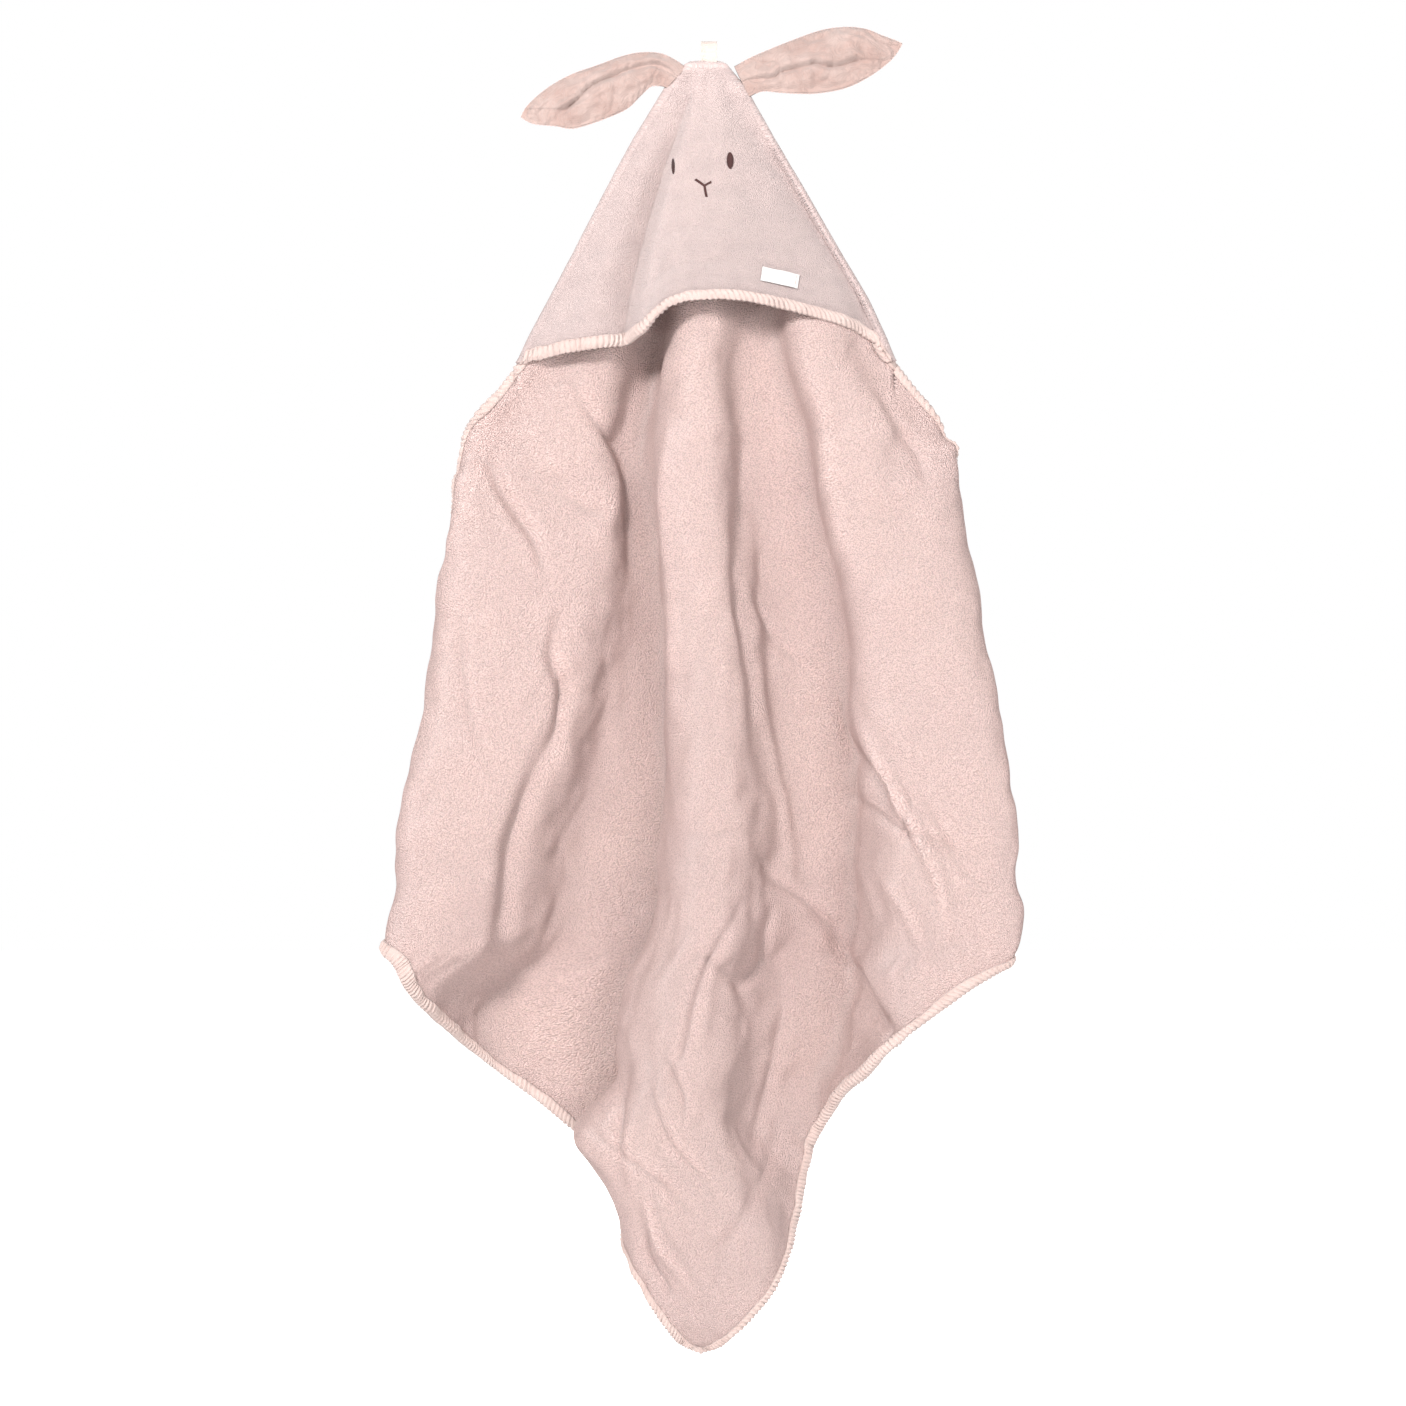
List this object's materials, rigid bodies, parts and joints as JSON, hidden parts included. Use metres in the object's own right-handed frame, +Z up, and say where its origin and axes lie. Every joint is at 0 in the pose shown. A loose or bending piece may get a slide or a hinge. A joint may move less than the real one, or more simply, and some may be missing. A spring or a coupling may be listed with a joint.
{
  "type": "hooded baby towel",
  "caption": "Square terry baby towel hanging from a loop, with a pointed rabbit-faced hood across one corner, two soft ears, puckered edge binding and a blank label.",
  "frame": {"origin": "inside top of the hanging loop, where a hook carries the towel", "axes": "+X to the right of someone looking at the hood's face, +Y away from them, through the towel, +Z up along the towel's diagonal"},
  "size_m": [0.4725, 0.1011, 0.9867],
  "materials": {
    "terry": "looped cotton terry",
    "binding": "puckered cotton binding",
    "hood_cloth": "smooth brushed cotton",
    "ear_cloth": "crinkled double cotton",
    "face_thread": "satin-stitched thread",
    "label": "blank woven label",
    "loop_tape": "cotton tape"
  },
  "bodies": {
    "hood": {"towel_behind_hood": "terry", "hood_front": "hood_cloth", "hood_opening_binding": "binding", "left_eye": "face_thread", "right_eye": "face_thread", "nose_and_mouth": "face_thread", "woven_label": "label", "hanging_loop": "loop_tape"},
    "left_ear": {"left_ear_front": "ear_cloth", "left_ear_back": "ear_cloth"},
    "right_ear": {"right_ear_front": "ear_cloth", "right_ear_back": "ear_cloth"},
    "drape": {"towel_middle": "terry", "edge_binding_left_shoulder": "binding", "edge_binding_right_shoulder": "binding", "edge_binding_left_hem": "binding", "edge_binding_right_hem": "binding"},
    "left_wing": {"towel_left_wing": "terry", "edge_binding_left_wing": "binding"},
    "right_wing": {"towel_right_wing": "terry", "edge_binding_right_wing": "binding"},
    "bottom_corner": {"towel_bottom_corner": "terry", "edge_binding_bottom_corner": "binding"}
  },
  "joints": [
    {"name": "drape_swing", "type": "hinge", "parent": "hood", "child": "drape", "pos_m": [0, 0, -0.245], "axis": [-1, 0, 0], "range_deg": [-90, 90]},
    {"name": "left_wing_fold", "type": "hinge", "parent": "drape", "child": "left_wing", "pos_m": [-0.165, 0, -0.53], "axis": [0, 0, 1], "range_deg": [-90, 95], "stiffness_Nm_per_rad": 0.01},
    {"name": "right_wing_fold", "type": "hinge", "parent": "drape", "child": "right_wing", "pos_m": [0.165, 0, -0.51], "axis": [0, 0, -1], "range_deg": [-90, 95], "stiffness_Nm_per_rad": 0.01},
    {"name": "bottom_corner_fold", "type": "hinge", "parent": "drape", "child": "bottom_corner", "pos_m": [0, 0, -0.851], "axis": [-1, 0, 0], "range_deg": [-90, 95]},
    {"name": "left_ear_flop", "type": "hinge", "parent": "hood", "child": "left_ear", "pos_m": [-0.02687, -0.00165, -0.02347], "axis": [0.6954, 0, 0.7186], "range_deg": [-90, 90], "stiffness_Nm_per_rad": 0.02},
    {"name": "right_ear_flop", "type": "hinge", "parent": "hood", "child": "right_ear", "pos_m": [0.02337, -0.00165, -0.02846], "axis": [0.6979, 0, -0.7162], "range_deg": [-90, 90], "stiffness_Nm_per_rad": 0.02}
  ]
}
